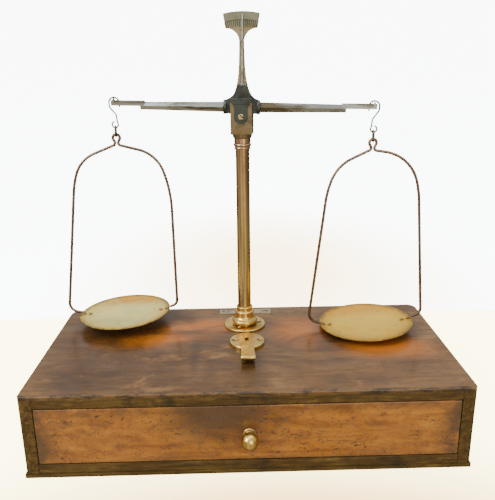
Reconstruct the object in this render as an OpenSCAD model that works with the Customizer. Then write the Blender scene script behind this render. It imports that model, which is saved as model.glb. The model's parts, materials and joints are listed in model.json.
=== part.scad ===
// Apothecary balance: a column balance that stands on a wooden base with one drawer.
// Origin: middle of the underside of the base. +X right, +Y towards the back, +Z up. Millimetres.

/* [Base] */
// Width of the wooden base
base_w = 340; // [320:1:360]
// Depth of the wooden base
base_d = 164; // [155:1:175]
// Height of the wooden base
base_h = 68.8; // [66:0.1:74]
// Thickness of the side boards
side_t = 10.2; // [8:0.1:12]
// Thickness of the lip of the top board that shows all round
top_lip = 3.3; // [3:0.1:4]
// Depth of the body of the top board under its lip
top_core = 6.2; // [5.5:0.1:7]
// Thickness of the bottom board
bottom_t = 3; // [2.5:0.1:4]
// Height of the drawer opening's lower edge
opening_z = 11; // [9:0.1:13]
// Thickness of the top rail over the drawer
rail_t = 7.2; // [6:0.1:8]

/* [Drawer] */
// Gap round the drawer front
drawer_gap = 0.6; // [0.4:0.1:1]
// Thickness of the drawer front
front_t = 12; // [10:0.5:15]
// Thickness of the drawer's side and back boards
drawer_t = 6; // [5:0.5:8]
// Height of the drawer's sides
drawer_side_h = 36; // [30:1:38]
// Diameter of the drawer knob
knob_d = 13.4; // [12:0.1:15]

/* [Column] */
// Distance of the column behind the middle of the base
col_y = 40; // [39.6:0.1:40.4]
// Outer diameter of the column tube
tube_d = 11.9; // [11.4:0.1:12.2]
// Radius of the screwed flange at the foot of the column
flange_r = 19; // [18.4:0.1:19.6]
// Height at which the lifting head rests on the column
head_z = 240.7; // [239:0.1:241.4]
// Diameter of the lifting rod inside the column
rod_d = 5.2; // [4.5:0.1:5.6]

/* [Lift lever] */
// Radius of the round plate over the lever
plate_r = 15.1; // [14.5:0.1:15.4]
// Width of the finger tongue
tongue_w = 10.5; // [9:0.1:11]

/* [Head] */
// Turn of the head about the column, right arm towards the front
head_yaw = 6.5; // [0:0.5:9]
// Width of the head block
head_w = 18; // [17:0.5:19]
// Height of the central knife edge
pivot_z = 272; // [271.6:0.1:272.2]

/* [Beam] */
// Resting tilt of the beam, right end down
beam_tilt = 1.15; // [0:0.05:1.2]
// Distance of each end knife from the central knife
arm_reach = 109.6; // [105:0.1:114]
// Width of the middle block of the beam
block_w = 30.5; // [28:0.5:32]

/* [Hangers] */
// Diameter of the wire of the hooks and links
thin_wire = 1.4; // [1.2:0.1:1.6]
// Diameter of the wire of the stirrups
thick_wire = 2.6; // [2.2:0.1:2.8]
// Diameter of each pan
pan_d = 83.2; // [80:0.1:86]
// Depth of each pan's bowl
pan_depth = 4.2; // [4:0.1:4.6]
// Thickness of the pan's sheet brass
pan_t = 0.8; // [0.7:0.1:0.9]
// Height from a pan's rim up to its stirrup's eye
rim_drop = 161; // [158:0.1:161.2]
// Sideways tilt of the left pan, from its bent stirrup
left_pan_tilt = 2.8; // [0:0.1:4]
// Sideways tilt of the right pan, inner side lower, from its bent stirrup
right_pan_tilt = 3.2; // [0:0.1:4]

/* [Hidden] */
$fn = 48;

walnut = [0.30, 0.17, 0.09];
oak = [0.45, 0.33, 0.17];
pine = [0.70, 0.56, 0.36];
burr = [0.60, 0.32, 0.12];
brass = [0.72, 0.58, 0.30];
bronze = [0.50, 0.36, 0.20];
pale_brass = [0.85, 0.76, 0.48];
steel = [0.55, 0.55, 0.53];
dark_steel = [0.20, 0.22, 0.26];
copper_wire = [0.45, 0.30, 0.20];

// Base
slack = 0.05;
cuff = 0.06;
cuff_rise = 0.01;
lip_z = base_h - top_lip;
core_z = lip_z - top_core;
inner_w = base_w - 2 * side_t;
front_y = -base_d / 2;
back_y = base_d / 2;
back_t = 8;
rail_d = 20;
opening_top = lip_z - rail_t;
corner_r = 9;
front_corner_r = 2.5;
arris_r = 1.6;
proud = 0.8;
runner_w = 9;
stop_w = 20;
stop_d = 8;
stop_h = 8;

// Screws: [head radius, head depth, shank radius, slot width]
flange_screw = [2.8, 1.6, 1.5, 0.9];
plate_screw = [2.8, 1.6, 1.5, 0.9];
screw_sink = 0.4;
strip_screw = [2, 0.9, 1.1, 0.6];
cheek_screw = [2.35, 1.1, 1.2, 0.7];
tower_screw = [1.3, 0.7, 0.8, 0.45];
screw_grip = 6;

// Column
col_x = -0.6;
tube_r = tube_d / 2;
tube_wall = 1.2;
flange_t = 2;
flange_top = base_h + flange_t;
flange_bolt_r = 12.9;
flange_turns = [4, 124, 244];
rod_r = rod_d / 2;
guide_play = 0.08;
rod_top = head_z + 9;
collar_foot_z = head_z - 9.5;
tube_top = head_z - 4.3;

// Lift lever
plate_x = 0.6;
plate_y = 0.8;
plate_t = 2.9;
plate_screw_x = 11;
plate_hole = [3.4, 6.2];
plate_hole_x = 0.3;
plate_hole_y = 2.3;
pin_z = 65.4;
pin_r = 1.2;
pin_len = 18;
lever_w = 8.6;
slot_half = 5.8;
slot_front = -25;
tongue_z = 72.6;
tongue_t = 2.1;
tongue_tip = -40;
tongue_flare = 0.5;
lip_r = 2;
neck_back = -16.2;
neck_front = -20;
arm_back = 43;
arm_drop = 4.6;
rod_bottom = pin_z - 3.3;

// Rear strip
strip_w = 49.4;
strip_d = 10.2;
strip_t = 1.2;
strip_x = 0.6;
strip_y = 69.3;
strip_screw_x = 21.2;

// Head
ear_t = 6;
slot_y = 3;
head_half_y = slot_y + ear_t;
cheek_t = 1.4;
ear_top = 273.6;
neck_top = head_z + 3.8;
head_bottom_r = 7.6;
head_top_r = 8.9;
slot_floor = 258;
screw_z = 258.7;
bearing_w = 5;
bearing_h = 4.2;
knife_h = 1.3;
knife_half_w = 1.1;
knife_reach = 8.7;

// Tower and its scale fan
tower_y = 3.5;
tower_t = 1.8;
tower_foot_t = 1.2;
tower_screw_x = 6;
tower_screw_y = head_half_y - 1.1;
tower_root_z = 275;
stem_half = 1.7;
fast_flare = [4.8, 8.6];
slow_flare = [1.7, 25];
fan_bottom = 328.8;
fan_side = 339.7;
fan_half_bottom = 13.3;
fan_half_top = 15.1;
fan_r = 69.4;
mark_count = 17;
mark_step = 1.5;
mark_w = 0.45;
mark_depth = 0.5;
band_bottom = 57.2;
band_top = 62.6;
band_line = 0.5;

// Beam
block_h = 11.5;
block_top = 271.9;
block_half_y = 2.5;
collar_w = 2.3;
arm_z = 266.2 - pivot_z;
arm_h_inner = 8.3;
arm_h_outer = 6.4;
arm_half_y_inner = 2.6;
eyelet_x = 11.4;
eyelet_r = 2.7;
eyelet_bore = 1.9;
eyelet_h = 0.3;
eyelet_depth = 1.5;
arm_half_y_outer = 2;
step_x = 86;
tip_top = -1.6;
tip_h = 4.5;
tip_half_y = 2;
tip_past_knife = 1.9;
hole_from_knife = 4.6;
hole_half_len = 1.2;
hole_r = 1.1;
end_knife_rise = 1.5;
end_knife_depth = 2;
end_knife_half = 0.8;
needle_foot_z = 285;
needle_top = 339;
needle_r = 0.7;

// Hangers
wire_r = thin_wire / 2;
stirrup_r = thick_wire / 2;
hook_rest = end_knife_rise + slack + wire_r;
hook_bend = 4.3;
hook_side_bend = 5;
hook_neck_bend = 4;
hook_loop_r = 2.6;
hook_in = 38;
hook_back = 33;
hook_curl = 22;
hook_curl_end = 290;
hook_side = 1.6;
hook_shank = 4;
hook_tail = 3.8;
link_w = 2.3;
link_span = 9.1;
eye_r = 3;
eye_turn = 118;
neck_run = 2;
neck_r = 2.4;
foot_run = 3;
foot_gap = 0.9;
foot_rise = 1.5;
foot_slope = 6;
end_wire_r = 0.65;
stitch_r = 1.1;
stitch_play = 0.15;
// Each half of a stirrup is bent by hand: [slope of the shoulder, its straight run, bend radius,
// turn of that bend, radius of the second, slower bend, lean of the leg outwards].
left_out_bow = [21.8, 18.7, 29.5, 48.5, 77, 7.4];
left_in_bow = [14.3, 15.7, 29.5, 57, 112, 0.5];
right_in_bow = [25, 15.5, 33, 45, 83, 6.7];
right_out_bow = [8.5, 7.4, 35, 65.3, 90, 4.9];

// Leans of the hook's wire from upright as it comes down, and the sideways room left for its slant,
// which puts the loop right under the end knife.
hook_lean = hook_in - hook_back;
hook_tip_lean = hook_lean + hook_curl;
hook_out = 2 * hook_bend - hole_from_knife
    - hook_side_bend * (1 - cos(hook_in))
    - hook_side_bend * (cos(hook_lean) - cos(hook_in))
    - hook_shank * sin(hook_lean)
    - hook_neck_bend * (cos(hook_lean) - cos(hook_tip_lean))
    + hook_loop_r * cos(hook_tip_lean);
hook_slant = hook_out / sin(hook_in);
// Heights over the top of the arm's tip: ends of the hook's top bend, bottom of its loop,
// top and bottom wire of the link, middle of the stirrup's eye.
hook_start_z = hook_rest - sqrt(hook_bend * hook_bend - pow(hole_from_knife - hook_bend, 2));
hook_low = hook_start_z - hook_side
    - hook_side_bend * (2 * sin(hook_in) - sin(hook_lean))
    - hook_slant * cos(hook_in)
    - hook_shank * cos(hook_lean)
    - hook_neck_bend * (sin(hook_tip_lean) - sin(hook_lean))
    - hook_loop_r * (sin(hook_tip_lean) + 1);
link_top = hook_low + 2 * wire_r + slack;
link_low = link_top - link_span;
eye_z = link_low + wire_r + stirrup_r + slack - eye_r;

// Pans
pan_r = pan_d / 2;
left_shift = 3.2;
right_shift = 1.3;
bowl_r = (pan_r * pan_r + pan_depth * pan_depth) / (2 * pan_depth);
rim_slope = asin(pan_r / bowl_r);

// Drawer
drawer_top = opening_top - drawer_gap;
drawer_low = opening_z + drawer_gap;
drawer_half = inner_w / 2 - drawer_gap;
drawer_side_half = inner_w / 2 - 1;
drawer_depth = 147.6;
floor_t = 3;
floor_lift = 3;
knob_z = 33.2;
knob_neck_r = 3;
knob_neck_h = 1.2;
rose_r = 5.2;
rose_t = 1;
stem_r = 2;
nut_r = 4.5;
nut_t = 3;

// ---- Shared shapes ----

// Rod that starts at the origin, heads along +Z and bends in the XZ plane.
// Each step is [0, length] for a straight or [bend radius, turn] for a bend; +turn is towards +X.
// A hair-thin cuff covers the joint between two steps.
module wire_run(steps, r, i = 0) {
    if (i < len(steps)) {
        bend = steps[i][0];
        amount = steps[i][1];
        side = sign(amount);
        translate([0, 0, -cuff]) cylinder(r = r, h = 2 * cuff);
        if (bend == 0) {
            cylinder(r = r - cuff_rise, h = amount);
            translate([0, 0, amount]) wire_run(steps, r, i + 1);
        } else {
            rotate([0, 0, side > 0 ? 0 : 180])
                translate([bend, 0, 0])
                    rotate([90, 0, 180])
                        rotate_extrude(angle = abs(amount))
                            translate([bend, 0]) circle(r = r - cuff_rise);
            translate([side * bend * (1 - cos(amount)), 0, bend * sin(abs(amount))])
                rotate([0, amount, 0])
                    wire_run(steps, r, i + 1);
        }
    }
}

// Slotted countersunk screw, top of its head at z = 0, pointing down.
module countersunk(screw, grip, turn) {
    difference() {
        union() {
            translate([0, 0, -screw[1]]) cylinder(r1 = screw[2], r2 = screw[0], h = screw[1]);
            translate([0, 0, -screw[1] - grip]) cylinder(r = screw[2], h = grip);
        }
        rotate([0, 0, turn])
            translate([-screw[0] - 1, -screw[3] / 2, -0.6])
                cube([2 * screw[0] + 2, screw[3], 1]);
    }
}

// Hole that a countersunk screw sits in, top at z = 0, with a hair of play.
module countersink(screw, grip) {
    translate([0, 0, -screw[1]])
        cylinder(r1 = screw[2] + slack, r2 = screw[0] + slack, h = screw[1]);
    translate([0, 0, -slack]) cylinder(r = screw[0] + slack, h = 2);
    translate([0, 0, -screw[1] - grip - 1]) cylinder(r = screw[2] + slack, h = grip + 1.1);
}

// Slotted round-headed screw, underside of its head at z = 0, head up, shank down.
module round_head(screw, grip, turn) {
    difference() {
        union() {
            cylinder(r = screw[0], h = screw[1] * 0.5);
            translate([0, 0, screw[1] * 0.5])
                cylinder(r1 = screw[0], r2 = screw[0] * 0.72, h = screw[1] * 0.5);
            translate([0, 0, -grip]) cylinder(r = screw[2], h = grip + 0.1);
        }
        rotate([0, 0, turn])
            translate([-screw[0] - 1, -screw[3] / 2, screw[1] * 0.45])
                cube([2 * screw[0] + 2, screw[3], screw[1]]);
    }
}

module ring(r_out, r_in, h) {
    difference() {
        cylinder(r = r_out, h = h);
        translate([0, 0, -1]) cylinder(r = r_in, h = h + 2);
    }
}

// Rectangle from its left front corner whose four corners are rounded: [fl, fr, br, bl].
module rounded_plan(w, d, r) {
    difference() {
        square([w, d]);
        translate([0, 0]) corner_cut(r[0]);
        translate([w, 0]) rotate(90) corner_cut(r[1]);
        translate([w, d]) rotate(180) corner_cut(r[2]);
        translate([0, d]) rotate(270) corner_cut(r[3]);
    }
}

module corner_cut(r) {
    difference() {
        translate([-1, -1]) square([r + 1, r + 1]);
        translate([r, r]) circle(r = r);
    }
}

module base_plan() {
    translate([-base_w / 2, front_y])
        rounded_plan(base_w, base_d, [front_corner_r, front_corner_r, corner_r, corner_r]);
}

// Places its children on the column's axis.
module at_column() {
    translate([col_x, col_y, 0]) children();
}

// Frame of the head: column axis, turned with the head.
module at_head() {
    at_column() rotate([0, 0, -head_yaw]) children();
}

// Frame of the beam: central knife edge, tilted as the beam rests.
module at_beam() {
    at_head() translate([0, 0, pivot_z]) rotate([0, beam_tilt, 0]) children();
}

// ---- Base ----

module top_board() {
    color(walnut)
        difference() {
            union() {
                translate([0, 0, lip_z])
                    intersection() {
                        linear_extrude(height = top_lip) base_plan();
                        translate([-base_w / 2 - 1, 0, 0])
                            rotate([90, 0, 90])
                                linear_extrude(height = base_w + 2)
                                    top_edge();
                    }
                translate([-inner_w / 2, front_y + rail_d, core_z])
                    cube([inner_w, base_d - rail_d - back_t, top_core]);
            }
            at_column() translate([0, 0, core_z - 1]) cylinder(r = rod_r + 0.8, h = 20);
            translate([plate_x - slot_half, slot_front, core_z - 1])
                cube([2 * slot_half, arm_back + 2.5 - slot_front, 20]);
            translate([plate_x - pin_len / 2 - 0.1, plate_y - pin_r, pin_z])
                cube([pin_len + 0.2, 2 * pin_r, 10]);
            translate([plate_x - pin_len / 2 - 0.1, plate_y, pin_z])
                rotate([0, 90, 0]) cylinder(r = pin_r, h = pin_len + 0.2);
            at_flange_screws() screw_way(flange_screw);
            at_plate_screws() screw_way(plate_screw);
            at_strip_screws() screw_way(strip_screw);
        }
}

// Front to back section of the lip, with its worn front and back edges.
module top_edge() {
    difference() {
        translate([front_y, 0]) square([base_d, top_lip]);
        translate([front_y, top_lip]) rotate(270) corner_cut(arris_r);
        translate([back_y, top_lip]) rotate(180) corner_cut(arris_r / 2);
    }
}

// Pilot hole in the wood for a screw's shank.
module screw_way(screw) {
    translate([0, 0, -screw_grip - 4]) cylinder(r = screw[2], h = screw_grip + 6);
}

module bottom_board() {
    color(walnut)
        translate([-base_w / 2 - proud, front_y - proud, 0])
            linear_extrude(height = bottom_t)
                rounded_plan(base_w + 2 * proud, base_d + proud, [1, 1, corner_r, corner_r]);
}

module side_board() {
    translate([0, 0, bottom_t])
        intersection() {
            linear_extrude(height = lip_z - bottom_t) base_plan();
            translate([inner_w / 2, front_y - 1, -1]) cube([side_t + 1, base_d + 2, lip_z]);
        }
}

module left_side() {
    color(oak) mirror([1, 0, 0]) side_board();
}

module right_side() {
    color(oak) side_board();
}

module back_board() {
    color(oak)
        translate([-inner_w / 2, back_y - back_t, bottom_t])
            cube([inner_w, back_t, lip_z - bottom_t]);
}

module top_rail() {
    color(oak)
        translate([-inner_w / 2, front_y, opening_top]) cube([inner_w, rail_d, rail_t]);
}

module bottom_rail() {
    color(oak)
        translate([-inner_w / 2, front_y, bottom_t]) cube([inner_w, rail_d, opening_z - bottom_t]);
}

module drawer_runners() {
    color(pine)
        for (side = [-1, 1])
            translate([side * (inner_w / 2 - runner_w / 2) - runner_w / 2, front_y + rail_d, bottom_t])
                cube([runner_w, base_d - rail_d - back_t, opening_z - bottom_t]);
}

module drawer_stops() {
    color(pine)
        for (side = [-1, 1])
            translate([side * inner_w / 4 - stop_w / 2, back_y - back_t - stop_d, bottom_t])
                cube([stop_w, stop_d, opening_z + stop_h]);
}

// ---- Column ----

module at_flange_screws() {
    at_column()
        for (turn = flange_turns)
            rotate([0, 0, turn]) translate([flange_bolt_r, 0, flange_top - screw_sink]) children();
}

module column_flange() {
    color(brass)
        difference() {
            at_column() translate([0, 0, base_h])
                union() {
                    cylinder(r = flange_r, h = flange_t - 0.5);
                    translate([0, 0, flange_t - 0.5])
                        cylinder(r1 = flange_r, r2 = flange_r - 0.5, h = 0.5);
                }
            at_column() cylinder(r = rod_r + 0.8, h = 100);
            at_flange_screws() countersink(flange_screw, screw_grip);
        }
}

module flange_screws() {
    color(brass) at_flange_screws() countersunk(flange_screw, screw_grip, 25);
}

// Turned foot: rounded ring, hollow flare, second ring and a thin top ring against the tube.
module base_collar() {
    // Plain steps as [outer radius, bottom, height]; rings and hollow as [radius, height, bead radius].
    steps = [[8.4, 0, 6], [10.4, 4, 4.6], [8.2, 4, 8], [7.1, 8, 8.4]];
    rings = [[9.3, 3, 2.25], [7.65, 12.1, 1.3], [6.7, 16.4, 0.85]];
    hollow = [11.8, 8.6, 3.6];
    color(brass)
        at_column() translate([0, 0, flange_top])
            rotate_extrude()
                difference() {
                    union() {
                        for (step = steps)
                            translate([tube_r, step[1]]) square([step[0] - tube_r, step[2]]);
                        for (bead = rings)
                            translate([bead[0], bead[1]]) circle(r = bead[2]);
                    }
                    translate([hollow[0], hollow[1]]) circle(r = hollow[2]);
                    translate([-20, -1]) square([20 + tube_r, 40]);
                }
}

module column_tube() {
    color(brass)
        at_column() translate([0, 0, flange_top]) ring(tube_r, tube_r - tube_wall, tube_top - flange_top);
}

module top_collar() {
    collar_r = 6.6;
    collar_h = 9.3;
    band_r = 7;
    band_h = 3.7;
    skirt_h = 3;
    rings = [[5.8, 1.2, 1.2], [6.2, 3.9, 1.4]];
    color(brass)
        at_column() translate([0, 0, collar_foot_z])
            difference() {
                union() {
                    cylinder(r = collar_r, h = collar_h);
                    rotate_extrude()
                        union() {
                            square([collar_r, skirt_h]);
                            for (bead = rings)
                                translate([bead[0], bead[1]]) circle(r = bead[2]);
                        }
                    translate([0, 0, collar_h - band_h]) cylinder(r = band_r, h = band_h);
                }
                translate([0, 0, -2]) cylinder(r = tube_r, h = tube_top - collar_foot_z + 2);
                translate([0, 0, -1]) cylinder(r = rod_r + guide_play, h = 20);
            }
}

// ---- Lift lever ----

module at_plate_screws() {
    for (side = [-1, 1])
        translate([plate_x + side * plate_screw_x, plate_y, base_h + plate_t - screw_sink]) children();
}

module lever_plate() {
    color(brass)
        difference() {
            translate([plate_x, plate_y, base_h])
                union() {
                    cylinder(r = plate_r, h = plate_t - 0.5);
                    translate([0, 0, plate_t - 0.5])
                        cylinder(r1 = plate_r, r2 = plate_r - 0.5, h = 0.5);
                }
            translate([plate_hole_x, plate_hole_y, base_h + 2])
                cube([plate_hole[0], plate_hole[1], 8], center = true);
            at_plate_screws() countersink(plate_screw, screw_grip);
        }
}

module lever_plate_screws() {
    color(brass) at_plate_screws() countersunk(plate_screw, screw_grip, 70);
}

module lever_pivot_pin() {
    color(steel)
        translate([plate_x - pin_len / 2, plate_y, pin_z])
            rotate([0, 90, 0]) cylinder(r = pin_r - slack, h = pin_len);
}

module at_strip_screws() {
    for (side = [-1, 1])
        translate([strip_x + side * strip_screw_x, strip_y, base_h + strip_t]) children();
}

module rear_strip() {
    color(steel)
        difference() {
            translate([strip_x - strip_w / 2, strip_y - strip_d / 2, base_h])
                linear_extrude(height = strip_t) rounded_plan(strip_w, strip_d, [1, 1, 1, 1]);
            at_strip_screws() countersink(strip_screw, screw_grip);
        }
}

module rear_strip_screws() {
    color(steel) at_strip_screws() countersunk(strip_screw, screw_grip, 15);
}

// Finger tongue in front, long arm under the column behind, bored for the pivot pin.
module lift_lever() {
    tip_half = tongue_w / 2 + tongue_flare;
    boss_half = 2.4;
    boss_run = 5;
    belly = 3.2;
    arm_h = 3;
    color(brass)
        difference() {
            union() {
                translate([plate_x - lever_w / 2, 0, 0])
                    rotate([90, 0, 90])
                        linear_extrude(height = lever_w)
                            polygon([
                                [neck_front, tongue_z - tongue_t], [neck_front, pin_z - boss_half],
                                [plate_y - boss_run, pin_z - belly], [arm_back, pin_z - arm_drop - arm_h],
                                [arm_back, pin_z - arm_drop], [plate_y + boss_run, pin_z + boss_half],
                                [neck_back, pin_z + boss_half], [neck_back, tongue_z + tongue_t]
                            ]);
                translate([plate_x, 0, tongue_z])
                    linear_extrude(height = tongue_t)
                        polygon([
                            [-tongue_w / 2, neck_back], [-tip_half, tongue_tip + lip_r],
                            [tip_half, tongue_tip + lip_r], [tongue_w / 2, neck_back]
                        ]);
                translate([plate_x - tip_half, tongue_tip + lip_r, tongue_z + lip_r - 0.1])
                    rotate([0, 90, 0]) cylinder(r = lip_r, h = 2 * tip_half);
            }
            translate([-20, plate_y, pin_z]) rotate([0, 90, 0]) cylinder(r = pin_r, h = 40);
            translate([-20, tongue_tip - 5, tongue_z - tongue_t]) cube([40, 20, tongue_t]);
        }
}

// ---- Lifting head ----

module lift_rod() {
    color(steel)
        at_column()
            union() {
                translate([0, 0, rod_bottom + rod_r * 0.6])
                    cylinder(r = rod_r, h = rod_top - rod_bottom - rod_r * 0.6);
                translate([0, 0, rod_bottom])
                    cylinder(r1 = rod_r * 0.45, r2 = rod_r, h = rod_r * 0.6);
            }
}

module head_block() {
    color(bronze)
        difference() {
            union() {
                at_column() translate([0, 0, head_z])
                    cylinder(r1 = head_bottom_r, r2 = head_top_r, h = neck_top - head_z);
                at_head() translate([-head_w / 2, -head_half_y, neck_top - slack])
                    cube([head_w, 2 * head_half_y, ear_top - neck_top + slack]);
            }
            at_column() translate([0, 0, head_z - 1]) cylinder(r = rod_r, h = rod_top - head_z + 1);
            at_head() translate([-20, -slot_y, slot_floor]) cube([40, 2 * slot_y, 40]);
            at_head() translate([-bearing_w / 2, -20, pivot_z - bearing_h])
                cube([bearing_w, 40, 40]);
            at_cheek_screws() translate([0, 0, -6]) cylinder(r = cheek_screw[2], h = 8);
            at_tower_screws() translate([0, 0, -6]) cylinder(r = tower_screw[2], h = 8);
        }
}

// Front and rear screw seats on the cheeks' outer faces, +Z pointing out of the head.
module at_cheek_screws() {
    at_head()
        for (turn = [0, 180])
            rotate([0, 0, turn])
                translate([0, -head_half_y - cheek_t, screw_z]) rotate([90, 0, 0]) children();
}

// Shield: straight top, hollow sides, round lower end.
module cheek() {
    half_top = 9.3;
    half_waist = 5.4;
    low_r = 5.7;
    waist_drop = 9.6;
    hollow_r = 8.4;
    top_z = 273.6;
    round_z = 258.7;
    trim = [10, 6.2];
    difference() {
        rotate([90, 0, 0])
            linear_extrude(height = cheek_t)
                difference() {
                    union() {
                        translate([-half_top, round_z]) square([2 * half_top, top_z - round_z]);
                        translate([0, round_z]) circle(r = low_r);
                    }
                    for (side = [-1, 1])
                        translate([side * (half_waist + hollow_r), top_z - waist_drop])
                            circle(r = hollow_r);
                    for (side = [-1, 1])
                        translate([side * (low_r + trim[0] / 2) - trim[0] / 2, round_z - 2]) square(trim);
                }
        translate([0, 5, screw_z]) rotate([90, 0, 0]) cylinder(r = cheek_screw[2], h = 20);
    }
}

module front_cheek() {
    color(dark_steel) at_head() translate([0, -head_half_y, 0]) cheek();
}

module rear_cheek() {
    color(dark_steel) at_head() rotate([0, 0, 180]) translate([0, -head_half_y, 0]) cheek();
}

module cheek_screws() {
    color(brass) at_cheek_screws() round_head(cheek_screw, 4, -45);
}

// Hard steel blocks with a vee for the knife, one in each ear.
module knife_bearings() {
    color(steel)
        at_head()
            for (side = [-1, 1])
                translate([0, side * (slot_y + ear_t / 2), pivot_z])
                    rotate([90, 0, 0])
                        linear_extrude(height = ear_t - 0.1, center = true)
                            polygon([
                                [-bearing_w / 2, -bearing_h], [bearing_w / 2, -bearing_h],
                                [bearing_w / 2, 0.9], [2, 0.9], [0, -slack],
                                [-2, 0.9], [-bearing_w / 2, 0.9]
                            ]);
}

// Half width of the post: a stem, a quick flare and a slow flare, as [width, length] above the root.
function tower_half(z) = stem_half + flare(fast_flare, z) + flare(slow_flare, z);
function flare(shape, z) = shape[0] * exp((tower_root_z - z) / shape[1]);

module at_tower_screws() {
    at_head()
        for (side = [-1, 1])
            translate([side * tower_screw_x, tower_screw_y, ear_top + tower_foot_t]) children();
}

// Thin post with a fan-shaped scale on top and a foot screwed to the rear ear.
module scale_tower() {
    post_steps = 18;
    post_top = 319;
    post_foot = ear_top + 0.9;
    flare_r = 10.6;
    left_edge = [
        for (i = [0:post_steps])
            let (z = post_top + (post_foot - post_top) * pow(i / post_steps, 1.5))
                [-tower_half(z), z]
    ];
    right_edge = [for (i = [post_steps:-1:0]) [-left_edge[i][0], left_edge[i][1]]];
    color(brass)
        at_head()
            difference() {
                union() {
                    translate([0, tower_y + tower_t, 0]) rotate([90, 0, 0])
                        linear_extrude(height = tower_t)
                            union() {
                                polygon(concat(left_edge, right_edge));
                                fan_outline(post_top, flare_r);
                            }
                    translate([-head_w / 2, tower_y, ear_top])
                        cube([head_w, head_half_y - tower_y, tower_foot_t]);
                }
                fan_marks();
                tower_screw_ways();
            }
}

module tower_screw_ways() {
    for (side = [-1, 1])
        translate([side * tower_screw_x, tower_screw_y, ear_top])
            cylinder(r = tower_screw[2], h = 8, center = true);
}

// Fan with an arched top, swept sides and hollow shoulders down to the post.
module fan_outline(post_top, flare_r) {
    neck = tower_half(post_top);
    sky = 345;
    trim = [20, 10.6];
    difference() {
        intersection() {
            translate([0, pivot_z]) circle(r = fan_r);
            union() {
                polygon([
                    [-fan_half_bottom, fan_bottom], [fan_half_bottom, fan_bottom],
                    [fan_half_top, fan_side], [fan_half_top, sky],
                    [-fan_half_top, sky], [-fan_half_top, fan_side]
                ]);
                translate([-fan_half_bottom, post_top]) square([2 * fan_half_bottom, fan_bottom - post_top]);
            }
        }
        for (side = [-1, 1])
            translate([side * (neck + flare_r), post_top - 1.2]) circle(r = flare_r);
        for (side = [-1, 1])
            translate([side * (neck + trim[0] / 2) - trim[0] / 2, post_top - 10]) square(trim);
    }
}

// Radial grooves of the scale and the line that arches over them.
module fan_marks() {
    translate([0, tower_y, pivot_z]) {
        for (i = [0:mark_count - 1])
            rotate([0, (i - (mark_count - 1) / 2) * mark_step, 0])
                translate([-mark_w / 2, -1, band_bottom])
                    cube([mark_w, 1 + mark_depth, band_top - band_bottom]);
        translate([0, mark_depth, 0])
            rotate([90, 0, 0])
                difference() {
                    ring(band_top + band_line, band_top, 2);
                    translate([-40, -80, -1]) cube([80, 120, 4]);
                }
    }
}

module tower_screws() {
    color(brass) at_tower_screws() round_head(tower_screw, 4, 0);
}

// ---- Beam ----

module beam_center() {
    low = block_top - block_h - pivot_z;
    high = block_top - pivot_z;
    color(dark_steel)
        at_beam()
            difference() {
                union() {
                    translate([-block_w / 2, -block_half_y, low + 0.4])
                        cube([block_w, 2 * block_half_y, block_h - 0.4]);
                    for (side = [-1, 1])
                        translate([side * (block_w / 2 - collar_w / 2), 0, (low + high) / 2])
                            rotate([0, 90, 0]) cylinder(r = block_h / 2, h = collar_w, center = true);
                    at_eyelets() cylinder(r = eyelet_r, h = eyelet_h + 1);
                }
                translate([-20, -20, high]) cube([40, 40, 10]);
                at_eyelets() translate([0, 0, 1 + eyelet_h - eyelet_depth]) cylinder(r = eyelet_bore, h = 4);
            }
}

// Blind eyelets on both faces of the block, beside the head; +Z points out of the face.
module at_eyelets() {
    for (turn = [0, 180])
        rotate([0, 0, turn])
            for (side = [-1, 1])
                translate([side * eyelet_x, 1 - block_half_y, arm_z]) rotate([90, 0, 0]) children();
}

// Half beam that points along +X: a tapered bar with bevelled faces, a step and a square tip.
// The hook's hole is set aside so that an unturned hook hangs straight through the turned arm.
module arm(side) {
    tip_end = arm_reach + tip_past_knife;
    hole_y = -side * hole_from_knife * sin(head_yaw);
    root_x = block_w / 2;
    difference() {
        union() {
            hull() {
                arm_section(root_x, arm_h_inner, arm_half_y_inner);
                arm_section(step_x, arm_h_outer, arm_half_y_outer);
            }
            translate([step_x - 3, -tip_half_y, tip_top - tip_h])
                cube([tip_end - step_x + 3, 2 * tip_half_y, tip_h]);
        }
        translate([arm_reach - hole_from_knife, hole_y, 0]) oblong_hole();
        translate([arm_reach, 0, tip_top]) end_knife();
    }
}

module arm_section(x, h, half_y) {
    bevel = 0.3;
    translate([x, 0, arm_z])
        rotate([90, 0, 90])
            linear_extrude(height = 0.5)
                polygon([
                    [-half_y, 0], [-half_y * bevel, -h / 2], [half_y * bevel, -h / 2],
                    [half_y, 0], [half_y * bevel, h / 2], [-half_y * bevel, h / 2]
                ]);
}

module oblong_hole() {
    for (side = [-1, 1])
        translate([side * hole_half_len, 0, -10]) cylinder(r = hole_r, h = 20);
    translate([-hole_half_len, -hole_r, -10]) cube([2 * hole_half_len, 2 * hole_r, 20]);
}

// Upright knife at an arm's tip, edge up, on which a hook hangs; z = 0 is the top of the tip.
module end_knife() {
    rotate([90, 0, 0])
        linear_extrude(height = 2 * tip_half_y, center = true)
            polygon([
                [-end_knife_half, -end_knife_depth], [end_knife_half, -end_knife_depth],
                [end_knife_half, 0], [0, end_knife_rise], [-end_knife_half, 0]
            ]);
}

module left_arm() {
    color(steel) at_beam() mirror([1, 0, 0]) arm(-1);
}

module right_arm() {
    color(steel) at_beam() arm(1);
}

module end_knives() {
    color(steel)
        at_beam()
            for (side = [-1, 1])
                translate([side * arm_reach, 0, tip_top]) end_knife();
}

module center_knife() {
    color(steel)
        at_beam()
            rotate([90, 0, 0])
                linear_extrude(height = 2 * knife_reach, center = true)
                    knife_section();
}

module knife_section() {
    polygon([[0, 0], [knife_half_w, knife_h], [-knife_half_w, knife_h]]);
}

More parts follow.
